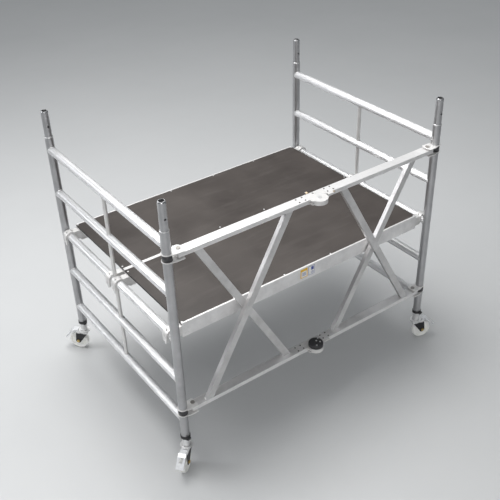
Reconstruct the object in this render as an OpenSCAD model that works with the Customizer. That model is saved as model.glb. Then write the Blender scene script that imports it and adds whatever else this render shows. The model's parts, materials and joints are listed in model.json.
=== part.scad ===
// Baker scaffold: two ladder end frames on castors, joined by a folding front gate and two lift-off platforms.
// Millimetres, +Z up, left and right frames along X, the gate on the -Y side.

/* [Bay] */
// Distance between the left and right post centres
bay_length = 1800; // [1400:10:2400]
// Distance between the front and back post centres
bay_depth = 1270; // [1100:5:1500]

/* [Posts] */
// Outside diameter of a post
post_d = 48.3; // [42:0.1:60]
// Wall of a post
post_wall = 2.9; // [2:0.1:4]
// Height of the open lower end of a post
post_bottom = 229; // [210:1:300]
// Height of the shoulder where the spigot comes out
post_top = 1558; // [1500:1:2000]
// Height of the tip of a spigot
spigot_top = 1717; // [1650:1:2200]

/* [Rungs] */
// Height of the centre of the top rung
rung_top = 1475; // [1400:5:1900]
// Distance from one rung to the next
rung_pitch = 280; // [250:5:300]
// Rungs in each end frame
rung_count = 5; // [3:1:6]
// Outside diameter of a rung
rung_d = 48; // [40:0.5:52]
// Grip flutes around a rung
flute_count = 20; // [8:1:28]
// Diameter of the thin tube between rungs
mid_d = 22; // [16:1:30]

/* [Gate] */
// Height of the centre of the top chord
chord_high = 1412; // [1300:1:1600]
// Height of the centre of the bottom chord
chord_low = 410; // [380:1:600]
// Width of a chord, front to back
chord_w = 60; // [40:1:80]
// Height of a chord
chord_h = 25; // [20:1:40]
// Width of a diagonal brace
brace_w = 40; // [25:1:50]
// Distance of the centre hinge pin in front of the chords
pivot_out = 7; // [5:0.5:15]
// Radius of a hinge lobe
lobe_r = 47; // [35:1:55]

/* [Platforms] */
// Height of the platform surface
deck_top = 958; // [700:1:1300]
// Height of a platform side rail
rail_h = 88; // [60:1:120]
// Distance from a rung centre to the end of a platform
deck_inset = 62; // [50:1:90]
// Distance from a post centre line to the outer face of a platform
deck_gap = 24; // [20:1:60]
// Distance of both platforms behind the middle of the bay
deck_shift = 8; // [-10:1:10]
// Thickness of a platform board
board_t = 12; // [9:1:18]

/* [Castors] */
// Wheel diameter
wheel_d = 125; // [100:5:200]
// Wheel width
wheel_w = 34; // [25:1:50]
// Distance from the swivel axis to the axle
trail = 45; // [30:1:60]
// Distance from the swivel axis to the tip of the pedal
pedal_reach = 142; // [130:1:170]
// Direction in which the front left castor points
dir_fl = 220; // [0:1:359]
// Direction in which the back left castor points
dir_bl = 130; // [0:1:359]
// Direction in which the front right castor points
dir_fr = 345; // [0:1:359]
// Direction in which the back right castor points
dir_br = 35; // [0:1:359]

/* [Hidden] */
$fn = 64;
fit = 0.3;
running = 0.08;
post_r = post_d / 2;
bore_r = post_r - post_wall;
rung_r = rung_d / 2;
px = bay_length / 2;
py = bay_depth / 2;
rung_low = rung_top - (rung_count - 1) * rung_pitch;
deck_rung = rung_top - 2 * rung_pitch;
pivot_y = -py - chord_w / 2 - pivot_out;
collar_z = post_bottom - 16;
cup_z = 139;
stem_z = cup_z + 6 + fit;
nut_z = cup_z - 17;
axle_z = wheel_d / 2;
chord_start = 45;
plug_start = 65;
chord_wall = 2.5;
pedal_w = 46;
pedal_x = 44;
pedal_z = 136;
pedal_drop = 38;
pressed = 8;
deck_end = px - deck_inset;
deck_out = py - deck_gap;
seam = 1;
rail_t = 2.5;
lip = 10;
lip_t = 2;
board_top = deck_top - lip_t;
board_bottom = board_top - board_t;
rail_bottom = deck_top - rail_h;
pawl_x = rung_r + 5;
pawl_z = deck_rung - 32;
claw_w = 40;
claw_outer = py - 52;
claw_inner = 34;
steel = [0.72, 0.73, 0.75];
dark = [0.12, 0.12, 0.13];
brass = [0.78, 0.62, 0.25];
white = [0.93, 0.93, 0.90];
// Extents of a castor pointing at angle a, used to put the origin under the middle of the whole.
function reach(press) = pedal_x + (pedal_reach - pedal_x) * cos(press) - pedal_drop * sin(press);
function reach_x(a, press) = reach(press) * cos(a) + sign(cos(a)) * abs(sin(a)) * pedal_w / 2;
function reach_y(a, press) = reach(press) * sin(a) + sign(sin(a)) * abs(cos(a)) * pedal_w / 2;
front_reach = max(-reach_y(dir_fl, 0), chord_w / 2 + pivot_out + lobe_r);
mid_x = (reach_x(dir_fr, pressed) + reach_x(dir_fl, 0)) / 2;
mid_y = (reach_y(dir_bl, pressed) - front_reach) / 2;

module placed() {
  translate([-mid_x, -mid_y, 0])
    children();
}

module at_post(sx, sy) {
  placed()
    translate([sx * px, sy * py, 0])
      children();
}

// Left-hand geometry, mirrored for the right when s is +1.
module sided(s) {
  placed()
    mirror([s > 0 ? 1 : 0, 0, 0])
      children();
}

module along_y(r, y0, y1) {
  translate([0, y0, 0])
    rotate([-90, 0, 0])
      cylinder(r = r, h = y1 - y0);
}

module along_x(x0, x1) {
  translate([x0, 0, 0])
    rotate([90, 0, 90])
      linear_extrude(x1 - x0)
        children();
}

// ---- end frames ----

module post(sx, sy) {
  at_post(sx, sy)
    difference() {
      translate([0, 0, post_bottom])
        cylinder(r = post_r, h = post_top - post_bottom);
      translate([0, 0, post_bottom - 1])
        cylinder(r = bore_r, h = post_top - post_bottom + 2);
      for (z = [post_top - 31, post_top - 82]) {
        translate([0, sy * (post_r + 5), z])
          sphere(r = 7);
        translate([sx * (post_r + 5), 0, z])
          sphere(r = 7);
      }
    }
}

module rung_section() {
  difference() {
    circle(r = rung_r);
    for (i = [0 : flute_count - 1])
      rotate(i * 360 / flute_count)
        translate([rung_r + 1.4, 0])
          circle(r = 2);
    circle(r = rung_r - 4);
  }
}

module rungs(s) {
  sided(s)
    difference() {
      for (i = [0 : rung_count - 1])
        translate([-px, py, rung_top - i * rung_pitch])
          rotate([90, 0, 0])
            linear_extrude(bay_depth)
              rung_section();
      for (sy = [-1, 1])
        translate([-px, sy * py, rung_low - 50])
          cylinder(r = post_r, h = rung_top - rung_low + 100);
    }
}

module mid_tubes(s) {
  sided(s)
    for (i = [0 : rung_count - 2])
      difference() {
        translate([-px, 0, rung_top - (i + 1) * rung_pitch])
          cylinder(r = mid_d / 2, h = rung_pitch);
        for (k = [i, i + 1])
          translate([-px, 0, rung_top - k * rung_pitch])
            along_y(rung_r, -20, 20);
      }
}

module spigot_profile() {
  low = post_top - 100;
  polygon([
    [15, low], [bore_r, low], [bore_r, post_top], [post_r - 0.6, post_top], [post_r - 0.6, post_top + 2],
    [bore_r, post_top + 5], [bore_r, spigot_top - 7], [bore_r - 2, spigot_top - 2.5],
    [bore_r - 4, spigot_top], [15, spigot_top]
  ]);
}

module spigots(s) {
  sided(s)
    for (sy = [-1, 1])
      translate([-px, sy * py, 0])
        difference() {
          rotate_extrude()
            spigot_profile();
          translate([0, 0, spigot_top - 92])
            along_y(6, -30, 30);
        }
}

module collars(s) {
  sided(s)
    for (sy = [-1, 1])
      translate([-px, sy * py, collar_z])
        difference() {
          union() {
            cylinder(r = 28, h = 16);
            translate([-9, -38, 0])
              cube([18, 20, 16]);
            translate([-14, -33, 8])
              rotate([0, 90, 0])
                cylinder(r = 4, h = 28);
          }
          translate([0, 0, -1])
            cylinder(r = bore_r, h = 18);
        }
}

module stems(s) {
  sided(s)
    for (sy = [-1, 1])
      translate([-px, sy * py, 0]) {
        translate([0, 0, stem_z])
          cylinder(r = bore_r, h = post_bottom + 80 - stem_z);
        translate([0, 0, nut_z])
          cylinder(r = 8, h = stem_z - nut_z);
        translate([0, 0, nut_z])
          cylinder(r = 12, h = 9.6, $fn = 6);
      }
}

// ---- folding gate, drawn as the left half ----

// Height and slope of a brace between the chords.
gap_low = chord_low + chord_h / 2;
gap_high = chord_high - chord_h / 2;

module chord_outline(inset) {
  w = chord_w - 2 * inset;
  h = chord_h - 2 * inset;
  r = inset > 0 ? 1.5 : 3.5;
  square([w - 2 * r, h], center = true);
  square([w, h - 2 * r], center = true);
  for (a = [-1, 1], b = [-1, 1])
    translate([a * (w / 2 - r), b * (h / 2 - r)])
      circle(r = r);
}

module at_chord(z) {
  translate([0, -py, z])
    children();
}

module rivet_places() {
  for (x = [-75, -114], y = [-16, 16])
    translate([x, y, 0])
      children();
}

module chord(s, z) {
  sided(s)
    at_chord(z)
      difference() {
        along_x(-px + chord_start, -plug_start)
          difference() {
            chord_outline(0);
            translate([-chord_w / 2, 0])
              circle(r = 1.6);
          }
        along_x(-px + chord_start + 3, -plug_start + 1)
          chord_outline(chord_wall);
        rivet_places()
          cylinder(r = 3, h = 60, center = true);
        translate([-px + 63, 0, 0])
          cylinder(r = 8, h = 60, center = true);
      }
}

module brace_flat(x_low, x_high, w) {
  run = x_high - x_low;
  rise = gap_high - gap_low;
  half = w / 2 * sqrt(run * run + rise * rise) / rise;
  polygon([
    [x_low - half, gap_low], [x_low + half, gap_low], [x_high + half, gap_high], [x_high - half, gap_high]
  ]);
}

module brace(s, x_low, x_high, y0) {
  sided(s)
    translate([0, -py + y0 + 25, 0])
      rotate([90, 0, 0])
        difference() {
          linear_extrude(25)
            brace_flat(x_low, x_high, brace_w);
          translate([0, 0, 2])
            linear_extrude(21)
              brace_flat(x_low, x_high, brace_w - 4);
        }
}

module bracket_plate() {
  difference() {
    linear_extrude(4)
      union() {
        circle(r = 30);
        polygon([
          [0, -30], [31, -38], [76, -38], [79, -34], [83, 5], [82, 21], [76, 29], [69, 32],
          [44, 29], [26, 28], [0, 29]
        ]);
      }
    translate([0, 0, -1])
      cylinder(r = post_r + fit, h = 6);
    translate([63, 0, -1])
      cylinder(r = 8, h = 6);
  }
}

module brackets(s) {
  sided(s)
    for (z = [chord_high, chord_low], dz = [-23, 19])
      translate([-px, -py, z + dz])
        bracket_plate();
}

module bracket_pins(s) {
  sided(s)
    for (z = [chord_high, chord_low])
      translate([-px + 63, -py, z]) {
        cylinder(r = 8, h = 52, center = true);
        for (k = [-1, 1]) {
          translate([0, 0, k * (chord_h / 2 + 3.25)])
            cylinder(r = 14, h = 6.5, center = true);
          translate([0, 0, k * 25])
            cylinder(r = 12, h = 4, center = true);
        }
      }
}

module hinge_plug() {
  difference() {
    along_x(-135, -plug_start)
      chord_outline(chord_wall);
    rivet_places()
      cylinder(r = 3, h = 60, center = true);
  }
}

// The solid neck between the chord end and the lobes, clear of the other half's lobes.
module hinge_neck() {
  difference() {
    along_x(-plug_start, -1)
      chord_outline(0);
    translate([0, -chord_w / 2 - pivot_out, 0])
      cylinder(r = lobe_r + 0.6, h = 60, center = true);
    translate([0, 16, 0])
      cylinder(r = 6, h = 60, center = true);
  }
}

module lobe_outline() {
  difference() {
    union() {
      circle(r = lobe_r);
      intersection() {
        translate([-60, -14])
          square([60, 66]);
        circle(r = 56);
      }
      translate([-plug_start, pivot_out])
        square([plug_start - 1, chord_w - 8]);
    }
    translate([-72, -14])
      circle(r = 18);
    translate([0, chord_w / 2 + pivot_out + 16])
      circle(r = 6);
  }
}

module lobe(h, hole) {
  translate([0, -chord_w / 2 - pivot_out, 0])
    difference() {
      linear_extrude(h)
        intersection() {
          lobe_outline();
          union() {
            circle(r = lobe_r);
            translate([-plug_start, -lobe_r])
              square([plug_start - 1, 2 * lobe_r + 20]);
          }
        }
      translate([0, 0, -1])
        cylinder(r = hole, h = h + 2);
    }
}

module hinge_left_one(z) {
  at_chord(z)
    difference() {
      union() {
        hinge_plug();
        hinge_neck();
        translate([0, 0, chord_h / 2 - 8])
          lobe(8, 8);
        translate([0, 0, -chord_h / 2])
          lobe(8, 8);
      }
      translate([-12, 0, 0])
        along_y(4 + running, 12, 40);
    }
}

module hinge_left() {
  color(steel)
    sided(-1)
      for (z = [chord_high, chord_low])
        hinge_left_one(z);
}

module hinge_right() {
  color(steel)
    sided(1)
      for (z = [chord_high, chord_low])
        at_chord(z) {
          hinge_plug();
          hinge_neck();
          translate([0, 0, -chord_h / 2 + 8 + fit])
            lobe(chord_h - 16 - 2 * fit, 8 + running);
          translate([-104, -45, 7.5])
            cube([46, 15, 5]);
          translate([-plug_start, -45, 7.5])
            cube([7, 19, 5]);
        }
}

module hinge_rivets(s) {
  sided(s)
    for (z = [chord_high, chord_low])
      at_chord(z)
        rivet_places() {
          cylinder(r = 3, h = chord_h, center = true);
          for (k = [-1, 1])
            translate([0, 0, k * (chord_h / 2 + 0.75)])
              cylinder(r = 4.5, h = 1.5, center = true);
        }
}

module hinge_rivets_left() {
  color(steel) {
    hinge_rivets(-1);
    placed() {
      for (z = [chord_high, chord_low])
        translate([0, pivot_y, z - chord_h / 2]) {
          cylinder(r = 8, h = chord_h);
          translate([0, 0, -4])
            cylinder(r = 12, h = 4);
        }
      translate([0, pivot_y, chord_high + chord_h / 2])
        cylinder(r = 12, h = 3);
      for (p = [[30, 19], [8, 6], [20, -14], [-16, -27]])
        translate([p[0], pivot_y + p[1], chord_low + chord_h / 2 + 24])
          cylinder(r = 5, h = 2);
    }
  }
}

module hinge_cap() {
  color(dark)
    placed()
      translate([0, pivot_y, chord_low + chord_h / 2])
        rotate_extrude()
          polygon([[0, 0], [43, 0], [44, 3], [44, 18], [41, 23], [38, 24], [0, 24]]);
}

module lock_plunger() {
  color(brass)
    placed()
      translate([-12, -py, chord_high]) {
        along_y(4, 13, 40);
        along_y(6, 36, 40);
        along_y(9, 40, 54);
      }
}

// ---- platforms, drawn as the back half ----

module deck_sided(sy) {
  placed()
    translate([0, deck_shift, 0])
      mirror([0, sy < 0 ? 1 : 0, 0])
        children();
}

module board(sy) {
  deck_sided(sy)
    translate([-deck_end, seam + rail_t, board_bottom])
      cube([2 * deck_end, deck_out - seam - 2 * rail_t, board_t]);
}

// One side rail with its outer face on y = 0, opening towards +y.
module rail_outline(foot) {
  square([rail_t, rail_h]);
  translate([0, rail_h - lip_t])
    square([lip, lip_t]);
  translate([0, board_bottom - rail_bottom - 3])
    square([foot, 3]);
  square([foot, 3]);
}

module deck_frame(sy) {
  deck_sided(sy) {
    translate([0, seam, rail_bottom])
      along_x(-deck_end, deck_end)
        rail_outline(40);
    translate([0, deck_out, rail_bottom])
      mirror([0, 1, 0])
        along_x(-deck_end, deck_end)
          rail_outline(40);
    for (x = [-2 : 2])
      translate([x * (deck_end - 68) / 2 - 15, seam + 1, board_bottom - 30])
        cube([30, deck_out - seam - 2, 30]);
  }
}

// Side view of a claw hooked over a rung at the origin; the platform is on the -x side.
module claw_outline() {
  difference() {
    union() {
      circle(r = 35);
      translate([-deck_inset, -28])
        square([deck_inset, 55]);
      translate([0, -39])
        square([34.5, 39]);
    }
    circle(r = rung_r + fit);
    translate([-rung_r - fit, -60])
      square([2 * rung_r + 2 * fit, 60]);
  }
}

module claw(y0, y1) {
  difference() {
    translate([0, y1, 0])
      rotate([90, 0, 0])
        linear_extrude(y1 - y0)
          claw_outline();
    translate([pawl_x - 12, (y0 + y1) / 2 - 7.5, -60])
      cube([24, 15, 40]);
    translate([pawl_x, 0, -32])
      along_y(3 + running, y0 + 5, y1 - 5);
    for (a = [60, 120])
      translate([0, (y0 + y1) / 2, 0])
        rotate([0, 90 - a, 0])
          translate([0, 0, 30])
            cylinder(r = 4.5, h = 12);
  }
}

module claw_ends() {
  for (sx = [-1, 1])
    mirror([sx < 0 ? 1 : 0, 0, 0])
      translate([px, 0, deck_rung])
        children();
}

module claws(sy) {
  k = sy * deck_shift;
  deck_sided(sy)
    claw_ends() {
      claw(claw_outer - claw_w / 2 - k, claw_outer + claw_w / 2 - k);
      claw(claw_inner - claw_w / 2 - k, claw_inner + claw_w / 2 - k);
      // tangs that reach into the side rails
      translate([-deck_inset - 46, claw_outer - claw_w / 2 - k, rail_bottom + 3 - deck_rung])
        cube([46, deck_out - rail_t - claw_outer + claw_w / 2 + k, 65]);
      translate([-deck_inset - 46, seam + rail_t, rail_bottom + 3 - deck_rung])
        cube([46, 50, 65]);
    }
}

module deck_rivets(sy) {
  deck_sided(sy) {
    for (k = [-2.5 : 2.5], y = [32, deck_out - 15])
      translate([k * 2 * (deck_end - 8) / 5, y, board_top])
        cylinder(r = 5, h = 1.5);
    for (sx = [-1, 1], x = [14, 34], z = [20, 50])
      translate([sx * (deck_end - x), 0, rail_bottom + z])
        along_y(4, deck_out, deck_out + 1.5);
  }
}

module pawl(sx, sy) {
  deck_sided(sy)
    mirror([sx < 0 ? 1 : 0, 0, 0])
      for (y = [claw_outer, claw_inner])
        translate([px + pawl_x, y - sy * deck_shift, pawl_z]) {
          along_y(3, -14.5, 14.5);
          along_y(5, -7.2, 7.2);
          translate([-3, -7.2, -22])
            cube([6, 14.4, 22]);
        }
}

// ---- castors, drawn pointing along +x ----

module castor(sx, sy, dir) {
  at_post(sx, sy)
    rotate([0, 0, dir])
      children();
}

module cheek_outline() {
  polygon([
    [-28, cup_z], [31, cup_z], [44, cup_z + 5], [54, cup_z - 4], [trail + 17.4, axle_z + 4.7],
    [trail - 17.4, axle_z - 4.7], [-20, cup_z - 17], [-30, cup_z - 7]
  ]);
  translate([trail, axle_z])
    circle(r = 18);
}

module fork() {
  difference() {
    union() {
      translate([0, 0, cup_z])
        cylinder(r1 = 30, r2 = 36, h = 13);
      translate([-28, -22.5, cup_z - 6])
        cube([59, 45, 6]);
      for (v = [-22.5, 19.5])
        translate([0, v + 3, 0])
          rotate([90, 0, 0])
            linear_extrude(3)
              cheek_outline();
      translate([pedal_x, -19.6, pedal_z])
        along_y(4, 0, 39.2);
    }
    translate([0, 0, cup_z + 6])
      cylinder(r = 24, h = 12);
    translate([0, 0, cup_z - 10])
      cylinder(r = 8 + running, h = 30);
    translate([trail, 0, axle_z])
      along_y(6, -30, 30);
  }
}

module axle() {
  translate([trail, 0, axle_z]) {
    along_y(6, -30, 30);
    for (v = [-29.5, 22.5])
      translate([0, v, 0])
        rotate([-90, 0, 0])
          cylinder(r = 10.5, h = 7, $fn = 6);
  }
}

module wheel() {
  r = wheel_d / 2;
  h = wheel_w / 2;
  translate([trail, 0, axle_z])
    rotate([90, 0, 0])
      rotate_extrude()
        polygon([
          [6 + running, -19.2], [15, -19.2], [17, -h + 6], [r - 14, -h + 6], [r - 11, -h], [r - 4, -h],
          [r - 1, -h + 3], [r, -h + 8], [r, h - 8], [r - 1, h - 3], [r - 4, h], [r - 11, h],
          [r - 14, h - 6], [17, h - 6], [15, 19.2], [6 + running, 19.2]
        ]);
}

module pedal_bar(w) {
  translate([0, w / 2, 0])
    rotate([90, 0, 0])
      linear_extrude(w)
        children();
}

// Pedal hung from its pin, pressed down by the angle press.
module pedal(press) {
  tip = pedal_reach - pedal_x;
  translate([pedal_x, 0, pedal_z])
    rotate([0, press, 0])
      difference() {
        union() {
          along_y(8, -19.2, 19.2);
          pedal_bar(37.6)
            polygon([[-6, 3], [-4, 14], [0, 15], [26, 15], [26, 10], [13, 9], [6, -4]]);
          pedal_bar(pedal_w)
            polygon([
              [20, 15], [28, 15], [48, 6], [tip, -pedal_drop], [tip - 2, -pedal_drop - 4], [46, 1], [28, 10], [20, 10]
            ]);
          translate([15, -12, -8])
            cube([10, 24, 19]);
        }
        along_y(4 + running, -30, 30);
        translate([tip - 50, -11, -60])
          cube([24, 22, 70]);
      }
}

module post_fl() { color(steel) post(-1, -1); }
module post_bl() { color(steel) post(-1, 1); }
module post_fr() { color(steel) post(1, -1); }
module post_br() { color(steel) post(1, 1); }

post_fl();
post_bl();
color(steel) rungs(-1);  // rungs_left
color(steel) mid_tubes(-1);  // mid_tubes_left
color(steel) spigots(-1);  // spigots_left
color(dark) collars(-1);  // collars_left
color(steel) stems(-1);  // stems_left
post_fr();
post_br();
color(steel) rungs(1);  // rungs_right
color(steel) mid_tubes(1);  // mid_tubes_right
color(steel) spigots(1);  // spigots_right
color(dark) collars(1);  // collars_right
color(steel) stems(1);  // stems_right
color(steel) brackets(-1);  // brackets_left
color(steel) bracket_pins(-1);  // bracket_pins_left
color(steel) chord(-1, chord_high);  // chord_left_top
color(steel) chord(-1, chord_low);  // chord_left_bottom
color(steel) brace(-1, -737, -185, -25);  // brace_left_front
color(steel) brace(-1, -185, -737, 0);  // brace_left_back
hinge_left();
hinge_rivets_left();
hinge_cap();
lock_plunger();
color(steel) brackets(1);  // brackets_right
color(steel) bracket_pins(1);  // bracket_pins_right
color(steel) chord(1, chord_high);  // chord_right_top
color(steel) chord(1, chord_low);  // chord_right_bottom
color(steel) brace(1, -737, -185, -25);  // brace_right_front
color(steel) brace(1, -185, -737, 0);  // brace_right_back
hinge_right();
color(steel) hinge_rivets(1);  // hinge_rivets_right
color(dark) board(-1);  // board_front
color(steel) deck_frame(-1);  // deck_frame_front
color(steel) claws(-1);  // claws_front
color(steel) deck_rivets(-1);  // deck_rivets_front
color(steel) pawl(-1, -1);  // pawl_fl
color(steel) pawl(1, -1);  // pawl_fr
color(dark) board(1);  // board_back
color(steel) deck_frame(1);  // deck_frame_back
color(steel) claws(1);  // claws_back
color(steel) deck_rivets(1);  // deck_rivets_back
color(steel) pawl(-1, 1);  // pawl_bl
color(steel) pawl(1, 1);  // pawl_br
color(steel) castor(-1, -1, dir_fl) fork();  // fork_fl
color(brass) castor(-1, -1, dir_fl) axle();  // axle_fl
color(white) castor(-1, -1, dir_fl) wheel();  // wheel_fl
color(steel) castor(-1, -1, dir_fl) pedal(0);  // pedal_fl
color(steel) castor(-1, 1, dir_bl) fork();  // fork_bl
color(brass) castor(-1, 1, dir_bl) axle();  // axle_bl
color(white) castor(-1, 1, dir_bl) wheel();  // wheel_bl
color(steel) castor(-1, 1, dir_bl) pedal(pressed);  // pedal_bl
color(steel) castor(1, -1, dir_fr) fork();  // fork_fr
color(brass) castor(1, -1, dir_fr) axle();  // axle_fr
color(white) castor(1, -1, dir_fr) wheel();  // wheel_fr
color(steel) castor(1, -1, dir_fr) pedal(pressed);  // pedal_fr
color(steel) castor(1, 1, dir_br) fork();  // fork_br
color(brass) castor(1, 1, dir_br) axle();  // axle_br
color(white) castor(1, 1, dir_br) wheel();  // wheel_br
color(steel) castor(1, 1, dir_br) pedal(pressed);  // pedal_br
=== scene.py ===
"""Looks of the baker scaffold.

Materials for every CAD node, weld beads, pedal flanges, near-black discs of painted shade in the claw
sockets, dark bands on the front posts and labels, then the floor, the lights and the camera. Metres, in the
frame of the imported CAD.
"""

import json
import math
import random

import bpy
from mathutils import Matrix, Vector


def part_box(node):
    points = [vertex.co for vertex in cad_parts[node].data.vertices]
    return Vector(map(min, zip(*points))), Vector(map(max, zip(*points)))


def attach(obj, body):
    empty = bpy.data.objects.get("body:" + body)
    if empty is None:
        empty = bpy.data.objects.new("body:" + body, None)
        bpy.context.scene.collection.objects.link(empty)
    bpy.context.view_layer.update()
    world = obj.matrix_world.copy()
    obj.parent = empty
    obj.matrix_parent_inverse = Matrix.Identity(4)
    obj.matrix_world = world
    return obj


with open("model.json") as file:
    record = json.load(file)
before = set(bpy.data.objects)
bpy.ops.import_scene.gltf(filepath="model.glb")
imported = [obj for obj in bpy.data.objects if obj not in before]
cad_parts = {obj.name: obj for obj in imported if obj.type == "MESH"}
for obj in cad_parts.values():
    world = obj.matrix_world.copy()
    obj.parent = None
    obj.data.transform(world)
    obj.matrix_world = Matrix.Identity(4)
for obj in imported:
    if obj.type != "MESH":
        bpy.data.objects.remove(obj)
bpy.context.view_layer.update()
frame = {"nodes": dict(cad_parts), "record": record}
rng = random.Random(7)

# ---- places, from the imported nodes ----


def middle(node):
    low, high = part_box(node)
    return [(a + b) / 2 for a, b in zip(low, high)]


POST = {k: middle("post_" + k) for k in ("fl", "bl", "fr", "br")}
CENTRE_X = (POST["fl"][0] + POST["fr"][0]) / 2
CENTRE_Y = (POST["fl"][1] + POST["bl"][1]) / 2
POST_R = (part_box("post_fl")[1][0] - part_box("post_fl")[0][0]) / 2
POST_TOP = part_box("post_fl")[1][2]
RUNG_R = 0.024
RUNG_PITCH = 0.280
RUNG_TOP = POST_TOP - 0.083
RUNG_COUNT = 5
RUNG_Z = [RUNG_TOP - i * RUNG_PITCH for i in range(RUNG_COUNT)]
DECK_RUNG_Z = RUNG_Z[2]
MID_R = 0.011
CHORD_HIGH = middle("chord_left_top")[2]
CHORD_LOW = middle("chord_left_bottom")[2]
CHORD_H = 0.025
BRACE_W = 0.040
BRACE_T = 0.025
BRACE_FAR = 0.737
BRACE_NEAR = 0.185
GATE_Y = POST["fl"][1]
SIDE_BODY = {-1: "frame_left", 1: "frame_right"}
GATE_BODY = {-1: "gate_left", 1: "gate_right"}
RAIL_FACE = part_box("deck_frame_front")[0][1]
DECK_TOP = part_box("deck_frame_front")[1][2]
MM = 0.001

# ---- materials ----


class Mat:
    """A procedural material, built node by node."""

    def __init__(self, name, color, rough, metal=0.0):
        self.m = bpy.data.materials.new(name)
        self.m.use_nodes = True
        self.t = self.m.node_tree
        self.bsdf = self.t.nodes["Principled BSDF"]
        self.bsdf.inputs["Base Color"].default_value = (*color, 1)
        self.bsdf.inputs["Roughness"].default_value = rough
        self.bsdf.inputs["Metallic"].default_value = metal
        self.co = self.node("ShaderNodeTexCoord").outputs["Object"]
        self.bumped = None

    def node(self, kind, **props):
        n = self.t.nodes.new(kind)
        for k, v in props.items():
            setattr(n, k, v)
        return n

    def feed(self, socket, value):
        if isinstance(value, (int, float)):
            socket.default_value = value
        elif isinstance(value, (tuple, list)):
            socket.default_value = (*value, 1) if len(value) == 3 and socket.type == "RGBA" else value
        else:
            self.t.links.new(value, socket)

    def noise(self, scale, detail=3, rough=0.5, stretch=(1, 1, 1)):
        place = self.node("ShaderNodeMapping")
        self.feed(place.inputs["Vector"], self.co)
        place.inputs["Scale"].default_value = stretch
        n = self.node("ShaderNodeTexNoise")
        self.feed(n.inputs["Vector"], place.outputs[0])
        n.inputs["Scale"].default_value = scale
        n.inputs["Detail"].default_value = detail
        n.inputs["Roughness"].default_value = rough
        return n.outputs["Fac"]

    def remap(self, value, low, high, out_low, out_high):
        n = self.node("ShaderNodeMapRange")
        self.feed(n.inputs["Value"], value)
        for name, v in (("From Min", low), ("From Max", high), ("To Min", out_low), ("To Max", out_high)):
            n.inputs[name].default_value = v
        return n.outputs["Result"]

    def mix(self, fac, a, b):
        n = self.node("ShaderNodeMix", data_type="RGBA")
        self.feed(n.inputs[0], fac)
        self.feed(n.inputs[6], a)
        self.feed(n.inputs[7], b)
        return n.outputs[2]

    def math(self, op, a, b=0.0):
        n = self.node("ShaderNodeMath", operation=op)
        self.feed(n.inputs[0], a)
        self.feed(n.inputs[1], b)
        return n.outputs[0]

    def color(self, value):
        self.feed(self.bsdf.inputs["Base Color"], value)

    def rough(self, value):
        self.feed(self.bsdf.inputs["Roughness"], value)

    def bump(self, height, strength=0.3, distance=0.001):
        n = self.node("ShaderNodeBump")
        n.inputs["Strength"].default_value = strength
        n.inputs["Distance"].default_value = distance
        self.feed(n.inputs["Height"], height)
        if self.bumped:
            self.feed(n.inputs["Normal"], self.bumped)
        self.bumped = n.outputs["Normal"]
        self.feed(self.bsdf.inputs["Normal"], self.bumped)


def aluminium(name, color, rough, along, metal=0.85):
    """Extruded aluminium with faint die lines along one axis and soft handling marks."""
    m = Mat(name, color, rough, metal)
    lines = m.noise(900, 2, 0.5, [0.004 if i == along else 1 for i in range(3)])
    cloud = m.noise(9, 5, 0.6)
    dull = tuple(c * 0.80 for c in color)
    m.color(m.mix(m.remap(cloud, 0.35, 0.75, 0, 1), color, dull))
    base = m.remap(cloud, 0.3, 0.7, rough - 0.06, rough + 0.10)
    m.rough(m.math("ADD", base, m.remap(lines, 0, 1, -0.04, 0.04)))
    m.bump(lines, 0.10, 0.0002)
    m.bump(m.noise(160, 3), 0.05, 0.0003)
    return m.m


def cast(name, color, rough, metal):
    """Cast or welded aluminium with a fine blasted grain."""
    m = Mat(name, color, rough, metal)
    grain = m.noise(420, 4, 0.6)
    cloud = m.noise(30, 4)
    m.color(m.mix(m.remap(cloud, 0.3, 0.75, 0, 1), color, tuple(c * 0.78 for c in color)))
    m.rough(m.remap(cloud, 0.3, 0.7, rough - 0.08, rough + 0.1))
    m.bump(grain, 0.25, 0.0005)
    return m.m


def zinc(name, color, rough, metal):
    """Zinc plate with soft patches."""
    m = Mat(name, color, rough, metal)
    patch = m.noise(70, 3)
    m.color(m.mix(m.remap(patch, 0.35, 0.7, 0, 1), color, tuple(c * 0.85 for c in color)))
    m.rough(m.remap(patch, 0.3, 0.7, rough - 0.05, rough + 0.12))
    m.bump(m.noise(600, 2), 0.06, 0.0002)
    return m.m


def fork_zinc():
    """Zinc plate, bright on the swivel cup, with painted shade down the cheeks, which are coloured near
    black.
    """
    m = Mat("fork_zinc", (0.72, 0.72, 0.72), 0.36, 0.7)
    split = m.node("ShaderNodeSeparateXYZ")
    m.feed(split.inputs[0], m.co)
    patch = m.noise(60, 4)
    height = m.math("ADD", split.outputs[2], m.remap(patch, 0.3, 0.7, -0.004, 0.004))
    # painted shade: below the cup the zinc is coloured near black, standing for the shaded cheeks
    cheek_shade_split = m.remap(height, 0.124, 0.132, 0, 1)
    m.color(m.mix(cheek_shade_split, (0.040, 0.040, 0.043), (0.86, 0.86, 0.86)))
    m.rough(m.remap(patch, 0.3, 0.7, 0.32, 0.50))
    m.bump(m.noise(600, 2), 0.06, 0.0002)
    return m.m


def rivet_mat():
    """Zinc, bright on the cap, with painted shade on the rivets down in the sockets of the hinge plugs."""
    m = Mat("rivets", (0.70, 0.70, 0.70), 0.36, 0.7)
    split = m.node("ShaderNodeSeparateXYZ")
    m.feed(split.inputs[0], m.co)
    offset = m.math("ABSOLUTE", m.math("SUBTRACT", split.outputs[0], CENTRE_X))
    patch = m.noise(90, 3)
    bright = m.mix(patch, (0.66, 0.66, 0.66), (0.86, 0.86, 0.86))
    # painted shade: rivets more than 60 mm from the middle, down in the sockets, are coloured near black
    m.color(m.mix(m.remap(offset, 0.055, 0.060, 0, 1), bright, (0.10, 0.095, 0.09)))
    m.rough(m.remap(patch, 0.3, 0.7, 0.30, 0.46))
    m.bump(m.noise(600, 2), 0.06, 0.0002)
    return m.m


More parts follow.
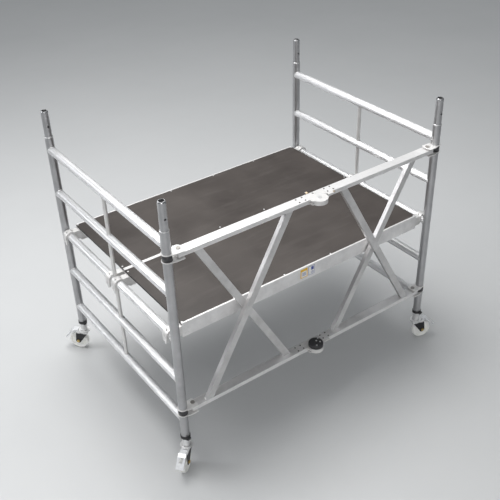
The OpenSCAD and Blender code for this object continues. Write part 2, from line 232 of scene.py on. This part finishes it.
def plastic(name, color, rough):
    """Moulded plastic or printed film with a fine grain and light scuffs."""
    m = Mat(name, color, rough)
    grain = m.noise(700, 3)
    scuff = m.noise(45, 5, 0.65)
    pale = tuple(min(1, c * 1.25 + 0.01) for c in color)
    m.color(m.mix(m.remap(scuff, 0.45, 0.75, 0, 1), color, pale))
    m.rough(m.remap(scuff, 0.3, 0.7, rough - 0.06, rough + 0.12))
    m.bump(grain, 0.12, 0.0003)
    return m.m


def nylon():
    """White nylon with grey scuffs."""
    m = Mat("nylon", (0.90, 0.90, 0.87), 0.38)
    scuff = m.noise(38, 6, 0.7)
    m.color(m.mix(m.remap(scuff, 0.52, 0.8, 0, 1), (0.92, 0.92, 0.89), (0.70, 0.68, 0.64)))
    m.rough(m.remap(scuff, 0.3, 0.7, 0.30, 0.50))
    m.bump(m.noise(200, 3), 0.08, 0.0004)
    m.bsdf.inputs["Subsurface Weight"].default_value = 0.08
    m.bsdf.inputs["Subsurface Radius"].default_value = (0.004, 0.004, 0.003)
    return m.m


def brass_mat(name, fresh, worn):
    """Turned brass, patchy between two colours."""
    m = Mat(name, fresh, 0.34, 0.9)
    cloud = m.noise(120, 4)
    m.color(m.mix(m.remap(cloud, 0.35, 0.7, 0, 1), fresh, worn))
    m.rough(m.remap(cloud, 0.3, 0.7, 0.28, 0.46))
    m.bump(m.noise(500, 2), 0.08, 0.0002)
    return m.m


def board_mat():
    """Film-faced plywood: brown film with a fine pressed mesh, worn cloudy, and near black on every face
    that does not point up.
    """
    m = Mat("film_ply", (0.10, 0.082, 0.070), 0.42)
    cloud = m.noise(2.2, 6, 0.62)
    streak = m.noise(14, 5, 0.6, (0.25, 1.6, 1))
    base = m.mix(m.remap(cloud, 0.34, 0.70, 0, 1), (0.034, 0.027, 0.024), (0.060, 0.050, 0.045))
    base = m.mix(m.remap(streak, 0.52, 0.78, 0, 0.30), base, (0.10, 0.088, 0.082))
    geo = m.node("ShaderNodeNewGeometry")
    split = m.node("ShaderNodeSeparateXYZ")
    m.feed(split.inputs[0], geo.outputs["Normal"])
    face_up = m.remap(split.outputs[2], 0.4, 0.6, 0, 1)
    # every face that does not point up is coloured near black
    m.color(m.mix(face_up, (0.012, 0.011, 0.011), base))
    m.rough(m.remap(cloud, 0.3, 0.7, 0.36, 0.54))
    waves = []
    for turn in (45, -45):
        place = m.node("ShaderNodeMapping")
        m.feed(place.inputs["Vector"], m.co)
        place.inputs["Rotation"].default_value = (0, 0, math.radians(turn))
        wave = m.node("ShaderNodeTexWave", wave_type="BANDS", bands_direction="X")
        m.feed(wave.inputs["Vector"], place.outputs[0])
        wave.inputs["Scale"].default_value = 46
        waves.append(wave.outputs["Fac"])
    mesh_height = m.math("MULTIPLY", m.math("MAXIMUM", *waves), face_up)
    m.bump(mesh_height, 0.25, 0.0006)
    m.bump(m.noise(60, 4), 0.08, 0.0008)
    return m.m


FRAME_ALU = aluminium("frame_tube", (0.50, 0.50, 0.51), 0.34, 2, 0.95)
MID_ALU = aluminium("mid_tube", (0.82, 0.81, 0.80), 0.42, 2, 0.6)
RUNG_ALU = aluminium("rung_tube", (0.80, 0.80, 0.81), 0.38, 1, 0.85)
GATE_ALU = aluminium("gate_tube", (0.88, 0.87, 0.87), 0.42, 0, 0.65)
BRACE_ALU = aluminium("brace_tube", (0.70, 0.69, 0.69), 0.42, 2)
CAST_ALLOY = cast("cast_alloy", (0.80, 0.79, 0.78), 0.44, 0.5)
BRACKET = cast("bracket_plate", (0.88, 0.87, 0.86), 0.40, 0.35)
ZINC = zinc("zinc_plated", (0.80, 0.80, 0.80), 0.38, 0.7)
PEDAL_ZINC = zinc("pedal_zinc", (0.86, 0.87, 0.89), 0.38, 0.5)
DARK_BAND = plastic("dark_band", (0.045, 0.045, 0.048), 0.42)
BLACK = plastic("black_plastic", (0.022, 0.022, 0.024), 0.48)
PIN_ZINC = zinc("pin_zinc", (0.42, 0.40, 0.38), 0.40, 0.8)
RIVET = rivet_mat()
BRASS = brass_mat("brass", (0.76, 0.58, 0.25), (0.52, 0.38, 0.16))
DULL_BRASS = brass_mat("dull_brass", (0.50, 0.41, 0.29), (0.34, 0.27, 0.19))
# near black, painted shade for the bottoms of the claw sockets
SOCKET_SHADE = plastic("socket_shade", (0.035, 0.034, 0.034), 0.5)
FORK_ZINC = fork_zinc()
NYLON = nylon()
BOARD = board_mat()
WELD = cast("weld_metal", (0.80, 0.80, 0.80), 0.34, 0.85)
LABELS = {
    "label_yellow": plastic("label_yellow", (0.80, 0.48, 0.03), 0.42),
    "label_white": plastic("label_white", (0.80, 0.80, 0.78), 0.42),
    "label_blue": plastic("label_blue", (0.035, 0.075, 0.34), 0.42),
}
BY_PREFIX = {
    "post": FRAME_ALU, "spigots": FRAME_ALU, "rungs": RUNG_ALU, "mid_tubes": MID_ALU, "collars": BLACK,
    "stems": ZINC, "brackets": BRACKET, "bracket_pins": PIN_ZINC, "chord": GATE_ALU, "brace": BRACE_ALU,
    "hinge_left": CAST_ALLOY, "hinge_right": CAST_ALLOY, "hinge_rivets": RIVET, "hinge_cap": BLACK,
    "lock_plunger": DULL_BRASS, "board": BOARD, "deck_frame": GATE_ALU, "claws": CAST_ALLOY,
    "deck_rivets": ZINC, "pawl": ZINC, "fork": FORK_ZINC, "pedal": PEDAL_ZINC, "axle": BRASS, "wheel": NYLON,
}


def dress(name, obj):
    """Gives a node the material of the longest prefix that fits its name."""
    best = max((p for p in BY_PREFIX if name.startswith(p)), key=len)
    obj.data.materials.clear()
    obj.data.materials.append(BY_PREFIX[best])


# width of the rounded edges, in millimetres
BEVEL = {"brackets": 0.8, "claws": 1.6, "deck_frame": 0.6, "fork": 0.6, "pedal": 0.6, "brace": 1.5,
         "hinge_left": 0.8, "hinge_right": 0.8, "board": 0.5, "pawl": 0.6, "collars": 1.0}

for node_name, node_obj in frame["nodes"].items():
    dress(node_name, node_obj)
    for prefix, width in BEVEL.items():
        if node_name.startswith(prefix) and not node_name.startswith("bracket_pins"):
            bevel = node_obj.modifiers.new("edge", "BEVEL")
            bevel.width = width * MM
            bevel.segments = 2
            bevel.limit_method = "ANGLE"
            bevel.angle_limit = math.radians(50)
            bevel.harden_normals = False

# ---- pieces ----


def mesh_piece(name, verts, faces, material, body, smooth=False):
    """One mesh that rides a body, in the given material."""
    mesh = bpy.data.meshes.new(name)
    mesh.from_pydata([tuple(v) for v in verts], [], faces)
    mesh.update()
    for p in mesh.polygons:
        p.use_smooth = smooth
    mesh.materials.append(material)
    obj = bpy.data.objects.new(name, mesh)
    bpy.context.scene.collection.objects.link(obj)
    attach(obj, body)


def prism(verts, faces, near, far):
    """Adds the closed solid between two matching outlines to verts and faces."""
    start, n = len(verts), len(near)
    verts.extend(near)
    verts.extend(far)
    faces.append(tuple(start + i for i in range(n)))
    faces.append(tuple(start + n + i for i in range(n - 1, -1, -1)))
    for i in range(n):
        j = (i + 1) % n
        faces.append((start + j, start + i, start + n + i, start + n + j))


# ---- weld beads ----


class Shell:
    """Collects weld beads into one mesh."""

    def __init__(self):
        self.verts = []
        self.faces = []

    def bead(self, path, radius, closed=True, sides=8, ripple=0.16, pitch=0.0035):
        """A rippled weld bead along a path of points."""
        n = len(path)
        start = len(self.verts)
        run = 0.0
        for i in range(n):
            here = path[i]
            before = path[i - 1] if closed or i else path[i]
            after = path[(i + 1) % n] if closed or i < n - 1 else path[i]
            run += (here - before).length
            ahead = (after - before).normalized()
            side = ahead.orthogonal().normalized()
            up = ahead.cross(side)
            r = radius * (1 + ripple * math.sin(run / pitch * 2 * math.pi)) * rng.uniform(0.93, 1.07)
            if not closed and i in (0, n - 1):
                r *= 0.35
            for k in range(sides):
                a = 2 * math.pi * k / sides
                self.verts.append(here + (side * math.cos(a) + up * math.sin(a)) * r)
        for i in range(n if closed else n - 1):
            j = (i + 1) % n
            # match the two rings where their turning frames differ
            shift = min(
                range(sides),
                key=lambda q: (self.verts[start + j * sides + q] - self.verts[start + i * sides]).length,
            )
            for k in range(sides):
                a = start + i * sides + k
                b = start + i * sides + (k + 1) % sides
                c = start + j * sides + (k + 1 + shift) % sides
                d = start + j * sides + (k + shift) % sides
                self.faces.append((a, b, c, d))
        if not closed:
            self.faces.append(tuple(start + k for k in range(sides - 1, -1, -1)))
            self.faces.append(tuple(start + (n - 1) * sides + k for k in range(sides)))

    def build(self, name, material, body):
        mesh_piece(name, self.verts, self.faces, material, body, smooth=True)


def ring_on_post(post, z, toward, steps=72):
    """Points of the seam where a rung meets a post."""
    radius = RUNG_R - 0.0002
    out = []
    for i in range(steps):
        a = 2 * math.pi * i / steps
        x = radius * math.cos(a)
        y = math.sqrt(POST_R * POST_R - x * x)
        out.append(Vector((post[0] + x, post[1] + toward * y, z + radius * math.sin(a))))
    return out


def ring_on_rung(x, y, z, toward, steps=40):
    """Points of the seam where the thin upright tube meets a rung."""
    out = []
    for i in range(steps):
        a = 2 * math.pi * i / steps
        u, v = MID_R * math.cos(a), MID_R * math.sin(a)
        out.append(Vector((x + u, y + v, z + toward * math.sqrt(RUNG_R * RUNG_R - u * u))))
    return out


def level_ring(post, z, radius, steps=72):
    """Points of a level circle round a post."""
    out = []
    for i in range(steps):
        a = 2 * math.pi * i / steps
        out.append(Vector((post[0] + radius * math.cos(a), post[1] + radius * math.sin(a), z)))
    return out


RUNG_BEAD, MID_BEAD, TOP_BEAD = 0.0030, 0.0020, 0.0022
for s, ends in ((-1, ("fl", "bl")), (1, ("fr", "br"))):
    shell = Shell()
    for end, toward in zip(ends, (1, -1)):
        for z in RUNG_Z:
            shell.bead(ring_on_post(POST[end], z, toward), RUNG_BEAD)
        shell.bead(level_ring(POST[end], POST_TOP + 0.0008, POST_R - 0.0016), TOP_BEAD, ripple=0.06)
    x = POST[ends[0]][0]
    for high, low in zip(RUNG_Z, RUNG_Z[1:]):
        shell.bead(ring_on_rung(x, CENTRE_Y, high, -1), MID_BEAD)
        shell.bead(ring_on_rung(x, CENTRE_Y, low, 1), MID_BEAD)
    shell.build("frame_welds_" + ("left" if s < 0 else "right"), WELD, SIDE_BODY[s])


def straight(a, b, step=0.0016):
    """Evenly spaced points from a to b."""
    a, b = Vector(a), Vector(b)
    n = max(3, int((b - a).length / step))
    return [a + (b - a) * (i / n) for i in range(n + 1)]


# ends of the braces on the chords: the outer face of each brace, then across its width
BRACE_RISE = CHORD_HIGH - CHORD_LOW - CHORD_H
BRACE_HALF = BRACE_W / 2 * math.hypot(BRACE_FAR - BRACE_NEAR, BRACE_RISE) / BRACE_RISE
FACE_BEAD, SIDE_BEAD = 0.0034, 0.0032
BEAD_LOOK = {"closed": False, "ripple": 0.22, "pitch": 0.0042}
CHORD_FACES = (
    (BRACE_FAR, BRACE_NEAR, CHORD_LOW + CHORD_H / 2 + 0.0004),
    (BRACE_NEAR, BRACE_FAR, CHORD_HIGH - CHORD_H / 2 - 0.0004),
)
for s in (-1, 1):
    shell = Shell()
    for front_x, back_x, z in CHORD_FACES:
        for layer, x in ((-1, front_x), (1, back_x)):
            cx = CENTRE_X + s * x
            face = GATE_Y + layer * BRACE_T
            shell.bead(
                straight((cx - BRACE_HALF, face, z), (cx + BRACE_HALF, face, z)), FACE_BEAD, **BEAD_LOOK
            )
            for side in (-1, 1):
                ex = cx + side * BRACE_HALF
                shell.bead(
                    straight((ex, GATE_Y + layer * 0.001, z), (ex, face, z)), SIDE_BEAD, **BEAD_LOOK
                )
    shell.build("gate_welds_" + ("left" if s < 0 else "right"), WELD, GATE_BODY[s])

# ---- folded flanges of the brake pedals ----

JOINTS = {j["name"]: j for j in frame["record"]["behaviour"]["joints"]}
FLANGE_IN, FLANGE_OUT = 0.0209, 0.0229
# side view of a pedal flange, from the pedal's pin, in millimetres
FLANGE = ((20, 14.9), (28, 14.9), (48, 5.9), (97, -37.2), (94, -43), (84, -40), (48, -8), (30, 2), (20, 3))
for k in ("fl", "bl", "fr", "br"):
    turn = JOINTS["roller_%s_turn" % k]["axis"]
    along, across = Vector((turn[1], -turn[0], 0)), Vector((turn[0], turn[1], 0))
    press = JOINTS["brake_%s_press" % k]
    dip = math.radians(-press["range_deg"][0])
    pin = Vector(press["pos_m"])
    verts, faces = [], []
    for near, far in ((-FLANGE_OUT, -FLANGE_IN), (FLANGE_IN, FLANGE_OUT)):
        sides = []
        for v in (near, far):
            side = []
            for x, z in FLANGE:
                u = (x * math.cos(dip) + z * math.sin(dip)) * MM
                w = (z * math.cos(dip) - x * math.sin(dip)) * MM
                side.append(pin + along * u + across * v + Vector((0, 0, w)))
            sides.append(side)
        prism(verts, faces, *sides)
    mesh_piece("pedal_flanges_" + k, verts, faces, PEDAL_ZINC, "brake_" + k)

# ---- painted shade: a near-black disc at the bottom of each of the two sockets in each claw ----

CLAW_Y = (0.583, 0.034)
SOCKET_FLOOR = 0.0302
DISC_R, DISC_H, DISC_SIDES = 0.0041, 0.0024, 24
for sy, body in ((-1, "deck_front"), (1, "deck_back")):
    verts, faces = [], []
    for x, sx in ((POST["fl"][0], -1), (POST["fr"][0], 1)):
        for y in CLAW_Y:
            for angle in (math.radians(60), math.radians(120)):
                out = Vector((sx * math.cos(angle), 0, math.sin(angle)))
                side = Vector((-out.z, 0, out.x))
                foot = Vector((x, CENTRE_Y + sy * y, DECK_RUNG_Z)) + out * SOCKET_FLOOR
                circle = []
                for i in range(DISC_SIDES):
                    a = 2 * math.pi * i / DISC_SIDES
                    circle.append(foot + (side * math.cos(a) + Vector((0, 1, 0)) * math.sin(a)) * DISC_R)
                prism(verts, faces, circle, [p + out * DISC_H for p in circle])
    mesh_piece("claw_socket_shade_" + body[5:], verts, faces, SOCKET_SHADE, body)

# ---- a dark band round each front post, between the bracket plates ----

BAND_IN, BAND_OUT, BAND_HALF, BAND_SIDES = POST_R + 0.0004, POST_R + 0.0018, 0.0185, 64
for s, end in ((-1, "fl"), (1, "fr")):
    verts, faces = [], []
    for z in (CHORD_LOW, CHORD_HIGH):
        start = len(verts)
        for radius, way in ((BAND_IN, -1), (BAND_OUT, -1), (BAND_OUT, 1), (BAND_IN, 1)):
            for i in range(BAND_SIDES):
                a = 2 * math.pi * i / BAND_SIDES
                x, y = POST[end][0] + radius * math.cos(a), POST[end][1] + radius * math.sin(a)
                verts.append(Vector((x, y, z + way * BAND_HALF)))
        for q in range(4):
            for i in range(BAND_SIDES):
                j = (i + 1) % BAND_SIDES
                a, b = start + q * BAND_SIDES, start + (q + 1) % 4 * BAND_SIDES
                faces.append((a + i, a + j, b + j, b + i))
    name = "bracket_dark_bands_" + ("left" if s < 0 else "right")
    mesh_piece(name, verts, faces, DARK_BAND, GATE_BODY[s], smooth=True)

# ---- the tab's end and the labels on the front rail ----

FILM = 0.0002


def plate(name, low, high, material, body):
    """A box between two corners."""
    low, high = Vector(low), Vector(high)
    verts = [(x, y, z) for x in (low.x, high.x) for y in (low.y, high.y) for z in (low.z, high.z)]
    faces = [(0, 1, 3, 2), (4, 6, 7, 5), (0, 4, 5, 1), (2, 3, 7, 6), (0, 2, 6, 4), (1, 5, 7, 3)]
    mesh_piece(name, verts, faces, material, body)


def sticker(name, x0, x1, drop0, drop1, layer, material):
    """A film on the front rail between two drops below the platform's top, in one layer of the stack."""
    low = (CENTRE_X + x0, RAIL_FACE - FILM * layer, DECK_TOP - drop0)
    high = (CENTRE_X + x1, RAIL_FACE, DECK_TOP - drop1)
    plate(name, low, high, LABELS[material], "deck_front")


plate(
    "hinge_tab_bit",
    (CENTRE_X + 0.094, GATE_Y - 0.044, CHORD_HIGH + CHORD_H / 2),
    (CENTRE_X + 0.103, GATE_Y - 0.034, CHORD_HIGH + CHORD_H / 2 + 0.004),
    DULL_BRASS, "gate_right",
)
sticker("label_a_edge", -0.064, -0.014, 0.068, 0.010, 1, "label_yellow")
sticker("label_a_field", -0.058, -0.020, 0.064, 0.026, 2, "label_white")
for row in range(3):
    rise = row * 0.008
    sticker("label_a_line_%d" % row, -0.052, -0.026, 0.054 - rise, 0.051 - rise, 3, "label_blue")
sticker("label_b_edge", -0.008, 0.036, 0.068, 0.010, 1, "label_blue")
sticker("label_b_field", -0.006, 0.034, 0.066, 0.012, 2, "label_white")
sticker("label_b_square", 0.012, 0.030, 0.038, 0.016, 3, "label_blue")
for row in range(3):
    rise = row * 0.006
    sticker("label_b_line_%d" % row, 0.012, 0.030, 0.060 - rise, 0.058 - rise, 3, "label_blue")

# ---- floor, lights and camera ----


def floor():
    """A plain pale floor."""
    bpy.ops.mesh.primitive_plane_add(size=60, location=(0, 0, 0))
    obj = bpy.context.object
    obj.name = "floor"
    m = Mat("floor", (0.60, 0.60, 0.60), 0.6)
    cloud = m.noise(0.8, 4)
    m.color(m.mix(m.remap(cloud, 0.3, 0.7, 0, 1), (0.52, 0.526, 0.532), (0.49, 0.497, 0.503)))
    m.rough(m.remap(cloud, 0.3, 0.7, 0.5, 0.7))
    m.bump(m.noise(140, 3), 0.05, 0.001)
    obj.data.materials.append(m.m)


def area_light(name, place, target, size, watts, color):
    """A soft box at a place, aimed at a target."""
    light = bpy.data.lights.new(name, "AREA")
    light.shape = "RECTANGLE"
    light.size, light.size_y = size
    light.energy = watts
    light.color = color
    obj = bpy.data.objects.new(name, light)
    obj.location = place
    obj.rotation_euler = (Vector(target) - Vector(place)).to_track_quat("-Z", "Y").to_euler()
    bpy.context.scene.collection.objects.link(obj)


floor()
area_light("overhead", (-0.6, 1.2, 5.4), (0, 0, 0.8), (4.2, 3.2), 310, (1.0, 0.995, 0.98))
area_light("back_left", (-4.8, 3.6, 3.4), (0, 0, 0.9), (2.2, 2.2), 90, (0.97, 0.98, 1.0))
area_light("front_fill", (-3.5, -5.5, 3.0), (0, 0, 0.9), (2.2, 2.2), 95, (1.0, 0.98, 0.96))


def sky():
    """A dim horizon under a bright ceiling, so that level faces come out lighter than upright ones."""
    world = bpy.data.worlds.new("studio")
    world.use_nodes = True
    tree = world.node_tree
    coord = tree.nodes.new("ShaderNodeTexCoord")
    split = tree.nodes.new("ShaderNodeSeparateXYZ")
    ramp = tree.nodes.new("ShaderNodeMapRange")
    mix = tree.nodes.new("ShaderNodeMix")
    mix.data_type = "RGBA"
    tree.links.new(coord.outputs["Generated"], split.inputs[0])
    tree.links.new(split.outputs[2], ramp.inputs["Value"])
    ramp.inputs["From Min"].default_value = 0.05
    ramp.inputs["From Max"].default_value = 0.75
    tree.links.new(ramp.outputs["Result"], mix.inputs[0])
    mix.inputs[6].default_value = (0.05, 0.06, 0.07, 1)
    mix.inputs[7].default_value = (0.95, 0.98, 1.0, 1)
    back = tree.nodes["Background"]
    tree.links.new(mix.outputs[2], back.inputs[0])
    back.inputs[1].default_value = 0.55
    bpy.context.scene.world = world


sky()

AZIMUTH = math.radians(-35.03)
ELEVATION = math.radians(33.77)
ROLL = math.radians(-1.92)
CAMERA = Vector((-2.3547 + CENTRE_X, -3.3894 + CENTRE_Y, POST_TOP + 1.9432))
right = Vector((math.cos(AZIMUTH), math.sin(AZIMUTH), 0))
ahead = Vector((
    -math.sin(AZIMUTH) * math.cos(ELEVATION), math.cos(AZIMUTH) * math.cos(ELEVATION), -math.sin(ELEVATION)
))
up = right.cross(ahead)
right, up = (
    right * math.cos(ROLL) + up * math.sin(ROLL),
    up * math.cos(ROLL) - right * math.sin(ROLL),
)
lens = bpy.data.cameras.new("camera")
lens.sensor_width = 36
lens.lens = 57.33
camera = bpy.data.objects.new("camera", lens)
facing = Matrix((right, up, -ahead)).transposed().to_4x4()
camera.matrix_world = Matrix.Translation(CAMERA) @ facing
bpy.context.scene.collection.objects.link(camera)
bpy.context.scene.camera = camera
bpy.context.scene.view_settings.view_transform = "Standard"
